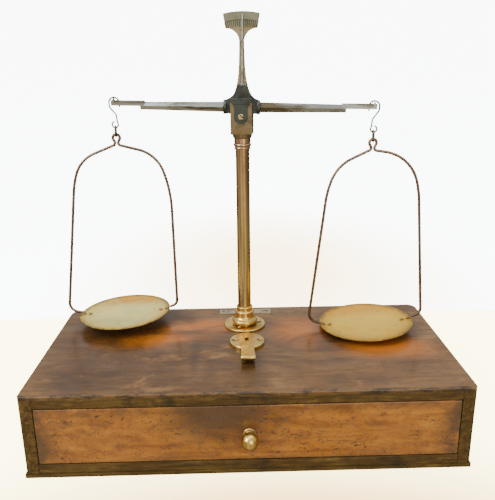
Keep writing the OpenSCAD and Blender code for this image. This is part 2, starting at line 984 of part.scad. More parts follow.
// Thin pointer on a flared foot that straddles the knife.
module needle() {
    foot_steps = 10;
    foot_low = block_top - pivot_z;
    foot_high = needle_foot_z - pivot_z;
    foot_half_y = 2.2;
    foot_stem = 3.3;
    foot_flare = [11, 3.9];
    tip_bead = 1.1;
    right_edge = [
        for (i = [0:foot_steps])
            let (rise = (foot_high - foot_low) * i / foot_steps)
                [foot_stem + foot_flare[0] * exp(-rise / foot_flare[1]), foot_low + rise]
    ];
    left_edge = [for (i = [foot_steps:-1:0]) [-right_edge[i][0], right_edge[i][1]]];
    color(dark_steel)
        at_beam()
            difference() {
                union() {
                    rotate([90, 0, 0])
                        linear_extrude(height = 2 * foot_half_y, center = true)
                            polygon(concat(right_edge, left_edge));
                    translate([0, 0, foot_high - 2])
                        cylinder(r1 = tip_bead, r2 = needle_r, h = needle_top - pivot_z - foot_high + 2);
                    translate([0, -foot_half_y, foot_high - 1.9]) sphere(r = tip_bead);
                }
                rotate([90, 0, 0])
                    linear_extrude(height = 20, center = true)
                        knife_section();
            }
}

// ---- Hangers ----
// A hanger is built for the right side, +X outwards; the left side is its mirror image.

// Point of the beam's end knife line at the top of the tip; children are not tilted or turned.
module at_arm_end(side) {
    reach = side * arm_reach;
    level = reach * cos(beam_tilt) + tip_top * sin(beam_tilt);
    rise = -reach * sin(beam_tilt) + tip_top * cos(beam_tilt);
    translate([col_x + level * cos(head_yaw), col_y - level * sin(head_yaw), pivot_z + rise])
        mirror([side < 0 ? 1 : 0, 0, 0])
            children();
}

module hook() {
    steps = [
        [0, hook_tail], [hook_bend, 180], [0, hook_side], [hook_side_bend, hook_in],
        [0, hook_slant], [hook_side_bend, -hook_back], [0, hook_shank],
        [hook_neck_bend, hook_curl], [hook_loop_r, -hook_curl_end]
    ];
    translate([-hole_from_knife, 0, hook_start_z - hook_tail]) wire_run(steps, wire_r);
}

// Oval ring that stands in the YZ plane.
module link() {
    straight = link_span - 2 * link_w;
    steps = [
        [link_w, 90], [0, straight], [link_w, 180], [0, straight], [link_w, 90]
    ];
    translate([0, 0, link_top])
        rotate([0, 0, 90]) rotate([0, 90, 0]) wire_run(steps, wire_r);
}

// End of the thick wire beside a pan that is moved outwards by shift and tilted, outer side lower.
function foot_x(shift, tilt) = (pan_r + foot_gap) * cos(tilt) + shift;
function foot_z(tilt) = foot_rise - rim_drop - pan_r * sin(tilt);
function foot_dive(tilt) = rim_slope + foot_slope - tilt;

// Half of a stirrup on the +X side of its eye, bent as its bow says.
module stirrup_half(bow, shift, tilt) {
    dip = bow[0];
    run = bow[1];
    top_r = bow[2];
    mid = dip + bow[3];
    side_r = bow[4];
    splay = bow[5];
    dive = foot_dive(tilt);
    end_x = eye_r * sin(eye_turn) + neck_run * cos(eye_turn) + neck_r * (sin(eye_turn) - sin(dip))
        + run * cos(dip) + top_r * (sin(mid) - sin(dip)) + side_r * (cos(splay) - sin(mid));
    end_z = eye_r * cos(eye_turn) - neck_run * sin(eye_turn) + neck_r * (cos(eye_turn) - cos(dip))
        - run * sin(dip) + top_r * (cos(mid) - cos(dip)) + side_r * (sin(splay) - cos(mid));
    // The foot's bend radius and the leg's length that end the thick wire beside the rim.
    gap_x = foot_x(shift, tilt) + foot_run * cos(dive) - end_x;
    gap_z = foot_z(tilt) + foot_run * sin(dive) - end_z;
    foot_r = (gap_x * cos(splay) + gap_z * sin(splay)) / (sin(dive - splay) - 1);
    leg = -(gap_z + foot_r * (cos(dive) + sin(splay))) / cos(splay);
    steps = [
        [eye_r, eye_turn], [0, neck_run], [neck_r, dip - eye_turn], [0, run],
        [top_r, mid - dip], [side_r, 90 - mid - splay], [0, leg],
        [foot_r, 90 + splay - dive], [0, foot_run]
    ];
    translate([0, 0, eye_r]) rotate([0, 90, 0]) wire_run(steps, stirrup_r);
    at_foot(shift, tilt) stitch(end_wire_r);
}

module at_foot(shift, tilt) {
    translate([foot_x(shift, tilt), 0, foot_z(tilt)])
        rotate([0, -90 - foot_dive(tilt), 0])
            children();
}

// Thin end of the wire that is sewn through two holes near the rim.
module stitch(r) {
    run_in = 4.6;
    below = 0.7;
    across = 0.5;
    back_up = 1.1;
    tail = 2;
    steps = [
        [0, run_in], [stitch_r, -80], [0, below], [stitch_r, 85], [0, across], [stitch_r, 85],
        [0, back_up], [stitch_r, -85], [0, tail]
    ];
    wire_run(steps, r);
}

// Hand-bent stirrup round a pan: outer half, inner half and both sewn ends.
module stirrup(out_bow, in_bow, shift, tilt) {
    stirrup_half(out_bow, shift, tilt);
    mirror([1, 0, 0]) stirrup_half(in_bow, -shift, -tilt);
}

// Pan under its stirrup's eye, with holes for the sewn ends.
module hung_pan(shift, tilt) {
    difference() {
        translate([shift, 0, -rim_drop]) pan(tilt);
        at_foot(shift, tilt) stitch(end_wire_r + stitch_play);
        mirror([1, 0, 0]) at_foot(-shift, -tilt) stitch(end_wire_r + stitch_play);
    }
}

module pan(tilt) {
    rotate([0, tilt, 0])
        intersection() {
            translate([0, 0, bowl_r - pan_depth])
                difference() {
                    sphere(r = bowl_r + pan_t);
                    sphere(r = bowl_r);
                }
            translate([0, 0, -20]) cylinder(r = pan_r, h = 20.4);
        }
}

module left_hook() {
    color(dark_steel) at_arm_end(-1) hook();
}

module right_hook() {
    color(dark_steel) at_arm_end(1) hook();
}

module left_link() {
    color(brass) at_arm_end(-1) link();
}

module right_link() {
    color(brass) at_arm_end(1) link();
}

module left_stirrup() {
    color(copper_wire)
        at_arm_end(-1) translate([0, 0, eye_z])
            stirrup(left_out_bow, left_in_bow, left_shift, left_pan_tilt);
}

module right_stirrup() {
    color(copper_wire)
        at_arm_end(1) translate([0, 0, eye_z])
            stirrup(right_out_bow, right_in_bow, right_shift, -right_pan_tilt);
}

module left_pan() {
    color(pale_brass)
        at_arm_end(-1) translate([0, 0, eye_z]) hung_pan(left_shift, left_pan_tilt);
}

module right_pan() {
    color(pale_brass)
        at_arm_end(1) translate([0, 0, eye_z]) hung_pan(right_shift, -right_pan_tilt);
}

// ---- Drawer ----

module drawer_front() {
    color(burr)
        difference() {
            translate([-drawer_half, front_y, drawer_low])
                cube([2 * drawer_half, front_t, drawer_top - drawer_low]);
            translate([0, front_y - 1, knob_z]) rotate([-90, 0, 0]) cylinder(r = stem_r, h = front_t + 2);
        }
}

module drawer_side_board() {
    translate([drawer_side_half - drawer_t, front_y + front_t, opening_z + 0.2])
        cube([drawer_t, drawer_depth - front_t, drawer_side_h]);
}

module drawer_left_side() {
    color(pine) mirror([1, 0, 0]) drawer_side_board();
}

module drawer_right_side() {
    color(pine) drawer_side_board();
}

module drawer_back() {
    half = drawer_side_half - drawer_t;
    color(pine)
        translate([-half, front_y + drawer_depth - drawer_t, opening_z + floor_lift + floor_t])
            cube([2 * half, drawer_t, drawer_side_h - floor_lift - floor_t]);
}

module drawer_bottom() {
    half = drawer_side_half - drawer_t;
    color(pine)
        translate([-half, front_y + front_t, opening_z + floor_lift])
            cube([2 * half, drawer_depth - front_t, floor_t]);
}

module at_knob() {
    translate([0, front_y, knob_z]) rotate([90, 0, 0]) children();
}

module knob_rose() {
    color(brass)
        at_knob()
            difference() {
                rotate_extrude()
                    union() {
                        square([rose_r - rose_t, rose_t]);
                        intersection() {
                            translate([rose_r - rose_t, 0]) circle(r = rose_t);
                            square([20, 20]);
                        }
                    }
                translate([0, 0, -1]) cylinder(r = stem_r, h = 5);
            }
}

module drawer_knob() {
    color(pale_brass)
        at_knob()
            union() {
                translate([0, 0, -front_t - nut_t - 1]) cylinder(r = stem_r, h = front_t + nut_t + 2.5);
                translate([0, 0, rose_t]) cylinder(r1 = knob_neck_r + 0.8, r2 = knob_neck_r, h = 2);
                translate([0, 0, rose_t + 1]) cylinder(r = knob_neck_r, h = 3);
                translate([0, 0, rose_t + knob_d / 2 + knob_neck_h]) sphere(r = knob_d / 2);
            }
}

module knob_nut() {
    color(brass)
        at_knob()
            translate([0, 0, -front_t - nut_t])
                difference() {
                    cylinder(r = nut_r, h = nut_t, $fn = 6);
                    translate([0, 0, -1]) cylinder(r = stem_r, h = nut_t + 2);
                }
}

top_board();
bottom_board();
left_side();
right_side();
back_board();
top_rail();
bottom_rail();
drawer_runners();
drawer_stops();
column_flange();
flange_screws();
base_collar();
column_tube();
top_collar();
lever_plate();
lever_plate_screws();
lever_pivot_pin();
rear_strip();
rear_strip_screws();
lift_lever();
lift_rod();
head_block();
front_cheek();
rear_cheek();
cheek_screws();
knife_bearings();
scale_tower();
tower_screws();
beam_center();
left_arm();
right_arm();
center_knife();
end_knives();
needle();
left_hook();
left_link();
left_stirrup();
left_pan();
right_hook();
right_link();
right_stirrup();
right_pan();
drawer_front();
drawer_left_side();
drawer_right_side();
drawer_back();
drawer_bottom();
knob_rose();
drawer_knob();
knob_nut();
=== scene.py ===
import json
import math

import bpy
from mathutils import Matrix, Vector


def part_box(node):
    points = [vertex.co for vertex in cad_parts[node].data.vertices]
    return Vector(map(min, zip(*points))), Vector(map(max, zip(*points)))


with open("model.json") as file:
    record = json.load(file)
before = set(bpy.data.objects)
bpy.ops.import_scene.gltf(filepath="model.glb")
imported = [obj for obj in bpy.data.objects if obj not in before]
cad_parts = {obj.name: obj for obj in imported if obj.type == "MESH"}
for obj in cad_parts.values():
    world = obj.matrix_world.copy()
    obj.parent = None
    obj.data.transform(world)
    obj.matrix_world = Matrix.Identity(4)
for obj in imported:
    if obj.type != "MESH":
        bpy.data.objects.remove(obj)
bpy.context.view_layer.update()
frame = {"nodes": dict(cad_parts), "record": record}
NODES = frame["nodes"]

MM = 0.001
# The tower's scale, as in the CAD: its divisions and the radii they lie between, round the beam's knife.
MARK_STEP_DEG = 1.5
SCALE_BAND = (57.2 * MM, 62.6 * MM)
SCALE_EASE = 0.25 * MM
NEEDLE_FOOT_HEIGHT = 13.1 * MM
# Noise scale of the fine dirt that all the metal has, and how deep it is.
DIRT_SCALE = 420
DIRT_DEPTH = 0.00004


def joint_place(name):
    """Where a joint of the record is, in metres."""
    joint = next(j for j in frame["record"]["behaviour"]["joints"] if j["name"] == name)
    return Vector(joint["pos_m"])


# ---- Small helpers for shading ----


class Shading:
    """Short names for the nodes of one material or world, with its own coordinates."""

    def __init__(self, tree, coords):
        self.tree = tree
        self.coords = self.node("ShaderNodeTexCoord").outputs[coords]

    def node(self, kind, **settings):
        made = self.tree.nodes.new(kind)
        for key, value in settings.items():
            setattr(made, key, value)
        return made

    def feed(self, socket, value):
        """Links value if it is a socket, or else sets it."""
        if isinstance(value, bpy.types.NodeSocket):
            self.tree.links.new(value, socket)
        else:
            socket.default_value = value

    def stretched(self, scale, move=(0, 0, 0)):
        mapping = self.node("ShaderNodeMapping")
        self.feed(mapping.inputs["Vector"], self.coords)
        mapping.inputs["Location"].default_value = move
        mapping.inputs["Scale"].default_value = scale
        return mapping.outputs["Vector"]

    def noise(self, scale, detail=4.0, rough=0.55, distortion=0.0, where=None):
        tex = self.node("ShaderNodeTexNoise")
        self.feed(tex.inputs["Vector"], self.coords if where is None else where)
        tex.inputs["Scale"].default_value = scale
        tex.inputs["Detail"].default_value = detail
        tex.inputs["Roughness"].default_value = rough
        tex.inputs["Distortion"].default_value = distortion
        return tex.outputs["Fac"]

    def axis(self, name):
        split = self.node("ShaderNodeSeparateXYZ")
        self.feed(split.inputs["Vector"], self.coords)
        return split.outputs[name]

    def math(self, operation, a, b=0.0):
        made = self.node("ShaderNodeMath", operation=operation)
        self.feed(made.inputs[0], a)
        self.feed(made.inputs[1], b)
        return made.outputs[0]

    def span(self, value, low, high, to_low=0.0, to_high=1.0, curve="SMOOTHSTEP"):
        """value from low..high to to_low..to_high, clamped."""
        made = self.node("ShaderNodeMapRange", interpolation_type=curve)
        self.feed(made.inputs["Value"], value)
        for socket, number in zip(("From Min", "From Max", "To Min", "To Max"), (low, high, to_low, to_high)):
            made.inputs[socket].default_value = number
        return made.outputs["Result"]

    def blob(self, centre, radius, soft=0.5, squash=(1, 1, 1)):
        """1 inside a ball round centre, falling to 0 at radius."""
        length = self.node("ShaderNodeVectorMath", operation="LENGTH")
        self.feed(length.inputs[0], self.stretched(squash, tuple(-c * s for c, s in zip(centre, squash))))
        return self.span(length.outputs["Value"], radius * (1 - soft), radius, 1.0, 0.0)

    def mix(self, fac, a, b, blend="MIX"):
        made = self.node("ShaderNodeMix", data_type="RGBA", blend_type=blend, clamp_factor=True)
        self.feed(made.inputs[0], fac)
        self.feed(made.inputs[6], a if isinstance(a, bpy.types.NodeSocket) else (*a, 1.0))
        self.feed(made.inputs[7], b if isinstance(b, bpy.types.NodeSocket) else (*b, 1.0))
        return made.outputs[2]

    def ramp(self, value, *stops):
        """Colour stops, each given as (place, colour)."""
        ramp = self.node("ShaderNodeValToRGB")
        self.feed(ramp.inputs["Fac"], value)
        elements = ramp.color_ramp.elements
        while len(elements) < len(stops):
            elements.new(0.5)
        for element, (place, colour) in zip(elements, stops):
            element.position = place
            element.color = (*colour, 1.0)
        return ramp.outputs["Color"]

    def spots(self, spots):
        """The strongest of several soft blobs, given as (centre, radius, squash)."""
        value = 0.0
        for centre, radius, squash in spots:
            value = self.math("MAXIMUM", value, self.blob(centre, radius, 0.9, squash))
        return value

    def grime(self, where=None):
        return self.noise(DIRT_SCALE, 3, 0.6, 0.0, where)

    def bump(self, height, distance, strength=1.0, over=None):
        made = self.node("ShaderNodeBump")
        made.inputs["Strength"].default_value = strength
        made.inputs["Distance"].default_value = distance
        self.feed(made.inputs["Height"], height)
        if over is not None:
            self.feed(made.inputs["Normal"], over)
        return made.outputs["Normal"]


class Paint(Shading):
    """One procedural material, read from the object's own coordinates in metres."""

    def __init__(self, name, metallic=0.0, roughness=0.5, **sockets):
        self.material = bpy.data.materials.new(name)
        self.material.use_nodes = True
        super().__init__(self.material.node_tree, "Object")
        self.shader = self.tree.nodes["Principled BSDF"]
        self.shader.inputs["Metallic"].default_value = metallic
        self.shader.inputs["Roughness"].default_value = roughness
        for socket, value in sockets.items():
            self.shader.inputs[socket.replace("_", " ")].default_value = value

    def finish(self, colour, roughness=None, normal=None):
        self.feed(self.shader.inputs["Base Color"], colour)
        if roughness is not None:
            self.feed(self.shader.inputs["Roughness"], roughness)
        if normal is not None:
            self.feed(self.shader.inputs["Normal"], normal)
        return self.material


# ---- Wood ----


def varnished_top():
    """Brown varnish, cloudy and rubbed, with faint straight grain, orange spots of painted reflection, dark
    patches of painted shadow, and a worn front edge with chips and painted glints.
    """
    low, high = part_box("top_board")
    p = Paint("varnished_top", roughness=0.3, Coat_Weight=0.1, Coat_Roughness=0.15, Specular_IOR_Level=0.3)
    grain = p.noise(15, 5, 0.6, 0.6, p.stretched((1.3, 12, 12)))
    fine = p.noise(90, 4, 0.65, 0.2, p.stretched((1.0, 4, 4)))
    cloud = p.noise(11, 5, 0.62, 0.9, p.stretched((0.9, 1.4, 1)))
    rubbed = p.noise(19, 6, 0.7, 0.4, p.stretched((1, 1.6, 1), move=(3.1, 1.7, 0.4)))
    wood = p.ramp(
        cloud,
        (0.30, (0.040, 0.017, 0.005)),
        (0.45, (0.085, 0.038, 0.010)),
        (0.58, (0.135, 0.062, 0.017)),
        (0.72, (0.190, 0.095, 0.028)),
    )
    wood = p.mix(p.span(grain, 0.40, 0.66, 0.0, 0.5), wood, (0.040, 0.017, 0.005))
    wood = p.mix(p.span(fine, 0.48, 0.66, 0.0, 0.4), wood, (0.030, 0.014, 0.005))
    wood = p.mix(p.span(rubbed, 0.55, 0.70, 0.0, 0.6), wood, (0.250, 0.130, 0.045))
    # Painted reflection: orange spots that stand for the brass of the pans and the column shining in the
    # varnish.
    back = high.y - 0.045
    glows = (
        ((-0.088, 0.014, high.z), 0.050, (0.7, 1.7, 1)),
        ((0.048, 0.022, high.z), 0.042, (1.2, 0.9, 1)),
        ((0.118, -0.014, high.z), 0.050, (0.8, 1.8, 1)),
        ((-0.030, back, high.z), 0.030, (0.7, 1.2, 1)),
        ((-0.060, back, high.z), 0.030, (0.7, 1.6, 1)),
    )
    glow = p.math("MULTIPLY", p.spots(glows), p.span(cloud, 0.34, 0.58, 0.2, 0.9))
    wood = p.mix(glow, wood, (0.36, 0.105, 0.010))
    # Painted shadow: dark patches under the pans and the lever, standing for their shadows and dark
    # reflections in the varnish.
    shades = (
        ((-0.128, 0.035, high.z), 0.060, (1, 0.7, 1)),
        ((0.004, -0.055, high.z), 0.030, (1.6, 0.6, 1)),
        ((-0.130, -0.065, high.z), 0.030, (0.5, 1.2, 1)),
        ((-0.043, -0.020, high.z), 0.028, (3.5, 0.6, 1)),
        ((0.075, 0.000, high.z), 0.040, (1.8, 0.8, 1)),
    )
    shade = p.math("MULTIPLY", p.spots(shades), p.span(rubbed, 0.30, 0.55, 0.75, 0.45))
    wood = p.mix(shade, wood, (0.016, 0.008, 0.004))
    edge = p.math("MAXIMUM", p.span(p.axis("Y"), low.y + 0.0030, low.y + 0.0008),
                  p.span(p.axis("Z"), high.z - 0.0003, high.z - 0.0012))
    ragged = p.noise(110, 5, 0.7, 0.5, p.stretched((0.5, 1, 2)))
    lip = p.mix(p.span(ragged, 0.42, 0.60), (0.115, 0.060, 0.016), (0.030, 0.016, 0.006))
    wood = p.mix(p.math("MULTIPLY", edge, p.span(ragged, 0.3, 0.5, 0.75, 1.0)), wood, lip)
    # Light nicks along the front edge: chips in the wood, partly painted glints.
    chips_and_glints = p.math("MULTIPLY", edge, p.span(p.noise(330, 3, 0.6), 0.70, 0.76))
    wood = p.mix(chips_and_glints, wood, (0.26, 0.17, 0.08))
    rough = p.span(rubbed, 0.3, 0.7, 0.20, 0.45)
    normal = p.bump(fine, 0.00012, 0.3, p.bump(p.noise(35, 3), 0.0006, 0.25))
    return p.finish(wood, rough, normal)


def frame_wood(name, along):
    """Worn olive-brown wood; along is the grain's axis."""
    scale = {"X": (1, 12, 12), "Y": (12, 1, 12), "Z": (12, 12, 1)}[along]
    p = Paint(name, roughness=0.5, Specular_IOR_Level=0.15)
    grain = p.noise(22, 6, 0.65, 0.8, p.stretched(scale))
    fine = p.noise(110, 3, 0.65, 0.3, p.stretched(tuple(s * 0.7 for s in scale)))
    wood = p.ramp(
        grain,
        (0.28, (0.024, 0.013, 0.004)),
        (0.46, (0.072, 0.040, 0.011)),
        (0.60, (0.120, 0.070, 0.018)),
        (0.76, (0.215, 0.125, 0.032)),
    )
    wood = p.mix(p.span(fine, 0.38, 0.72, 0.0, 0.6), wood, (0.022, 0.012, 0.004))
    wood = p.mix(p.span(p.noise(60, 5, 0.7, 0.6), 0.42, 0.64, 0.0, 0.6), wood, (0.050, 0.030, 0.008))
    wood = p.mix(p.span(p.noise(24, 4, 0.6), 0.54, 0.70, 0.0, 0.7), wood, (0.018, 0.014, 0.008))
    rough = p.span(fine, 0.3, 0.7, 0.38, 0.6)
    return p.finish(wood, rough, p.bump(grain, 0.0004, 0.5))


def burr_wood():
    """Orange varnished drawer front, pitted and freckled, darker towards its sides and its top and bottom
    edges, with a patch of painted shade at its top edge.
    """
    low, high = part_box("drawer_front")
    p = Paint("burr_wood", roughness=0.34, Coat_Weight=0.2, Coat_Roughness=0.2)
    streak = p.noise(20, 5, 0.6, 1.2, p.stretched((1, 4, 5)))
    wood = p.ramp(
        streak,
        (0.25, (0.150, 0.046, 0.004)),
        (0.48, (0.290, 0.100, 0.008)),
        (0.66, (0.390, 0.145, 0.012)),
        (0.85, (0.470, 0.200, 0.024)),
    )
    mottle = p.noise(75, 5, 0.7, 0.8, p.stretched((1, 1, 1.5)))
    wood = p.mix(p.span(mottle, 0.46, 0.66, 0.0, 0.55), wood, (0.110, 0.042, 0.010))
    pits = p.span(p.noise(230, 4, 0.65, 1.2, p.stretched((0.8, 1, 1.6))), 0.585, 0.635)
    pits = p.math("MULTIPLY", pits, p.span(p.noise(30, 3, 0.6), 0.40, 0.56))
    wood = p.mix(p.math("MULTIPLY", pits, 0.9), wood, (0.040, 0.014, 0.005))
    specks = p.span(p.noise(620, 3, 0.6, 0.5), 0.60, 0.68)
    wood = p.mix(p.math("MULTIPLY", specks, 0.7), wood, (0.050, 0.020, 0.007))
    blotch = p.span(p.noise(46, 4, 0.7, 0.5, p.stretched((1, 1, 2.2))), 0.60, 0.70)
    wood = p.mix(p.math("MULTIPLY", blotch, 0.7), wood, (0.055, 0.020, 0.010))
    # Darker towards the sides and towards the top and bottom edges.
    side = p.math("MAXIMUM", p.span(p.axis("X"), low.x + 0.022, low.x + 0.002),
                  p.span(p.axis("X"), high.x - 0.022, high.x - 0.002))
    rim = p.math("MAXIMUM", p.span(p.axis("Z"), high.z - 0.010, high.z - 0.001),
                 p.span(p.axis("Z"), low.z + 0.005, low.z))
    darkening = p.math("MAXIMUM", p.math("MULTIPLY", side, 0.9), p.math("MULTIPLY", rim, 0.55))
    darkening = p.math("MULTIPLY", darkening, p.span(p.noise(45, 4, 0.6), 0.28, 0.6))
    # Painted shade: a dark patch on the top edge, a little left of the middle.
    shade = p.blob((-0.022, low.y, high.z), 0.050, 0.8, (0.7, 1, 1))
    darkening = p.math("MAXIMUM", darkening, p.math("MULTIPLY", shade, 0.9))
    wood = p.mix(darkening, wood, (0.050, 0.026, 0.010))
    rough = p.span(p.noise(70, 4), 0.3, 0.7, 0.22, 0.5)
    return p.finish(wood, rough, p.bump(pits, -0.0004, 0.6, p.bump(streak, 0.0004, 0.3)))


def bare_wood():
    p = Paint("plain_wood", roughness=0.65)
    grain = p.noise(26, 5, 0.6, 0.5, p.stretched((1, 10, 10)))
    wood = p.ramp(grain, (0.3, (0.30, 0.19, 0.09)), (0.55, (0.44, 0.30, 0.16)), (0.8, (0.55, 0.40, 0.23)))
    return p.finish(wood, None, p.bump(grain, 0.0003, 0.4))


# ---- Metal ----


def tarnished(name, clean, tarnish, darkening, rough=(0.22, 0.45), grain=(1, 1, 1), amount=(0.42, 0.68)):
    """Metal with soft clouds of tarnish and fine dirt."""
    p = Paint(name, metallic=1.0)
    cloud = p.noise(55, 4, 0.6, 0.4, p.stretched(grain))
    fine = p.grime(p.stretched(grain))
    colour = p.mix(p.span(cloud, *amount), clean, tarnish)
    colour = p.mix(p.span(fine, 0.60, 0.76, 0.0, 0.45), colour, darkening)
    roughness = p.span(cloud, 0.3, 0.7, *rough)
    normal = p.bump(fine, DIRT_DEPTH, 0.4, p.bump(p.noise(140, 3), 0.0001, 0.2))
    return p.finish(colour, roughness, normal)


def pan_brass(name, node, heart_tone, rim_tone):
    """Pale dull brass, browner towards the rim and golden at the back, with fine scratches and stains."""
    low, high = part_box(node)
    p = Paint(name, metallic=1.0)
    cloud = p.noise(38, 5, 0.62, 0.6)
    fine = p.noise(300, 4, 0.6)
    middle = (low + high) / 2
    heart = p.blob(tuple(middle), 0.048, 0.55)
    colour = p.mix(heart, rim_tone, heart_tone)
    far = p.math("MULTIPLY", p.span(p.axis("Y"), middle.y + 0.012, middle.y + 0.032),
                 p.span(cloud, 0.3, 0.55, 0.4, 1.0))
    colour = p.mix(far, colour, (0.80, 0.42, 0.06))
    colour = p.mix(p.span(cloud, 0.50, 0.70, 0.0, 0.6), colour, rim_tone)
    colour = p.mix(p.span(fine, 0.60, 0.72, 0.0, 0.5), colour, (0.25, 0.15, 0.04))
    # Darker on the outside wall and rim edge of the pan, in smeared patches.
    outside = p.blob(tuple(middle), 0.0416, 0.14, (1, 1, 0.3))
    smear = p.noise(70, 5, 0.7, 0.8)
    worn = p.math("MULTIPLY", p.math("SUBTRACT", 1.0, outside), p.span(smear, 0.35, 0.6, 0.25, 0.9))
    colour = p.mix(worn, colour, (0.30, 0.18, 0.05))
    roughness = p.span(cloud, 0.3, 0.7, 0.36, 0.55)
    return p.finish(colour, roughness, p.bump(fine, 0.00005, 0.4))


def tube_brass():
    """Polished tube with long soft streaks, yellow at the foot and coppery towards the top."""
    low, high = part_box("column_tube")
    p = Paint("tube_brass", metallic=1.0)
    streak = p.noise(60, 4, 0.6, 0.3, p.stretched((1, 1, 0.08)))
    cloud = p.noise(40, 4, 0.6, 0.4, p.stretched((1, 1, 0.4)))
    fine = p.grime()
    colour = p.mix(p.span(p.axis("Z"), low.z + 0.05, high.z - 0.01), (0.66, 0.50, 0.20), (0.50, 0.33, 0.17))
    colour = p.mix(p.span(streak, 0.42, 0.66, 0.0, 0.75), colour, (0.20, 0.13, 0.06))
    colour = p.mix(p.span(cloud, 0.55, 0.72, 0.0, 0.7), colour, (0.16, 0.10, 0.05))
    colour = p.mix(p.span(fine, 0.60, 0.76, 0.0, 0.25), colour, (0.06, 0.03, 0.02))
    roughness = p.span(cloud, 0.3, 0.7, 0.14, 0.30)
    return p.finish(colour, roughness, p.bump(fine, 0.00003, 0.3))


def slotted_brass():
    """Brass screw heads with their slots painted near black."""
    low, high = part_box("cheek_screws")
    p = Paint("slotted_brass", metallic=1.0)
    fine = p.grime()
    across = p.math("ADD", p.math("SUBTRACT", p.axis("X"), (low.x + high.x) / 2),
                    p.math("SUBTRACT", p.axis("Z"), (low.z + high.z) / 2))
    slot = p.span(p.math("ABSOLUTE", across), 0.0007, 0.0004)
    colour = p.mix(p.span(fine, 0.40, 0.70), (0.60, 0.47, 0.25), (0.30, 0.21, 0.10))
    colour = p.mix(slot, colour, (0.02, 0.015, 0.01))
    return p.finish(colour, p.span(fine, 0.3, 0.7, 0.25, 0.4))


def needle_steel():
    """Light worn steel on the pointer, dark on its flared foot."""
    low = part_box("needle")[0]
    p = Paint("needle_steel", metallic=1.0)
    cloud = p.noise(55, 4, 0.6, 0.4)
    fine = p.grime()
    pointer = p.mix(p.span(cloud, 0.42, 0.68), (0.38, 0.39, 0.36), (0.17, 0.16, 0.13))
    foot = p.mix(p.span(cloud, 0.42, 0.68), (0.090, 0.100, 0.096), (0.04, 0.042, 0.036))
    foot_top = low.z + NEEDLE_FOOT_HEIGHT
    colour = p.mix(p.span(p.axis("Z"), foot_top - 0.001, foot_top), foot, pointer)
    colour = p.mix(p.span(fine, 0.60, 0.76, 0.0, 0.45), colour, (0.03, 0.03, 0.02))
    return p.finish(colour, p.span(cloud, 0.3, 0.7, 0.25, 0.42), p.bump(fine, DIRT_DEPTH, 0.4))


def graduated_brass():
    """Greenish worn brass of the tower, with dirt in the grooves of its scale."""
    low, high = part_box("scale_tower")
    p = Paint("graduated_brass", metallic=1.0)
    cloud = p.noise(60, 5, 0.65, 0.4)
    fine = p.grime()
    colour = p.mix(p.span(cloud, 0.40, 0.66), (0.42, 0.36, 0.22), (0.22, 0.17, 0.08))
    colour = p.mix(p.span(fine, 0.56, 0.72, 0.0, 0.7), colour, (0.06, 0.05, 0.03))
    fan = p.span(p.axis("Z"), high.z - 0.013, high.z - 0.010)
    colour = p.mix(fan, colour, p.mix(p.span(cloud, 0.35, 0.7), (0.30, 0.30, 0.22), (0.16, 0.15, 0.09)))
    middle_x = (low.x + high.x) / 2
    knife_z = joint_place("beam_knife").z
    aside = p.math("SUBTRACT", p.axis("X"), middle_x)
    above = p.math("SUBTRACT", p.axis("Z"), knife_z)
    angle = p.math("ARCTAN2", aside, above)
    mark = p.math("PINGPONG", p.math("DIVIDE", angle, math.radians(MARK_STEP_DEG)), 0.5)
    squares = p.math("ADD", p.math("MULTIPLY", aside, aside), p.math("MULTIPLY", above, above))
    radius = p.math("POWER", squares, 0.5)
    inside = p.math("MULTIPLY", p.span(radius, SCALE_BAND[0] - SCALE_EASE, SCALE_BAND[0]),
                    p.span(radius, SCALE_BAND[1] + 2 * SCALE_EASE, SCALE_BAND[1] + SCALE_EASE))
    from_line = p.math("ABSOLUTE", p.math("SUBTRACT", radius, SCALE_BAND[1] + SCALE_EASE))
    line = p.span(from_line, SCALE_EASE, 0.5 * SCALE_EASE)
    groove = p.math("MAXIMUM", p.math("MULTIPLY", p.span(mark, 0.22, 0.12), inside), line)
    colour = p.mix(p.math("MULTIPLY", groove, 0.8), colour, (0.02, 0.018, 0.012))
    roughness = p.span(cloud, 0.3, 0.7, 0.24, 0.45)
    return p.finish(colour, roughness, p.bump(fine, DIRT_DEPTH, 0.4))


PAINTS = {
    "varnished_top": varnished_top(),
    "frame_wood": frame_wood("frame_wood", "X"),
    "plain_wood": bare_wood(),
    "burr_wood": burr_wood(),
    "aged_brass": tarnished(
        "aged_brass", (0.64, 0.47, 0.19), (0.30, 0.20, 0.07), (0.07, 0.04, 0.02), grain=(1, 1, 0.35)
    ),
    "brown_brass": tarnished(
        "brown_brass", (0.24, 0.19, 0.11), (0.12, 0.09, 0.05), (0.03, 0.02, 0.01), rough=(0.28, 0.5)
    ),
    "dark_steel": tarnished(
        "dark_steel", (0.080, 0.095, 0.090), (0.04, 0.042, 0.036), (0.015, 0.012, 0.01), rough=(0.25, 0.42)
    ),
    "tarnished_steel": tarnished(
        "tarnished_steel", (0.33, 0.33, 0.28), (0.12, 0.11, 0.07), (0.03, 0.025, 0.015)
    ),
    "brown_wire": tarnished(
        "brown_wire", (0.20, 0.13, 0.085), (0.11, 0.075, 0.05), (0.05, 0.035, 0.025), rough=(0.3, 0.5)
    ),
    "pale_knob": tarnished(
        "pale_knob", (0.58, 0.38, 0.10), (0.40, 0.24, 0.06), (0.10, 0.06, 0.02), rough=(0.22, 0.40)
    ),
}
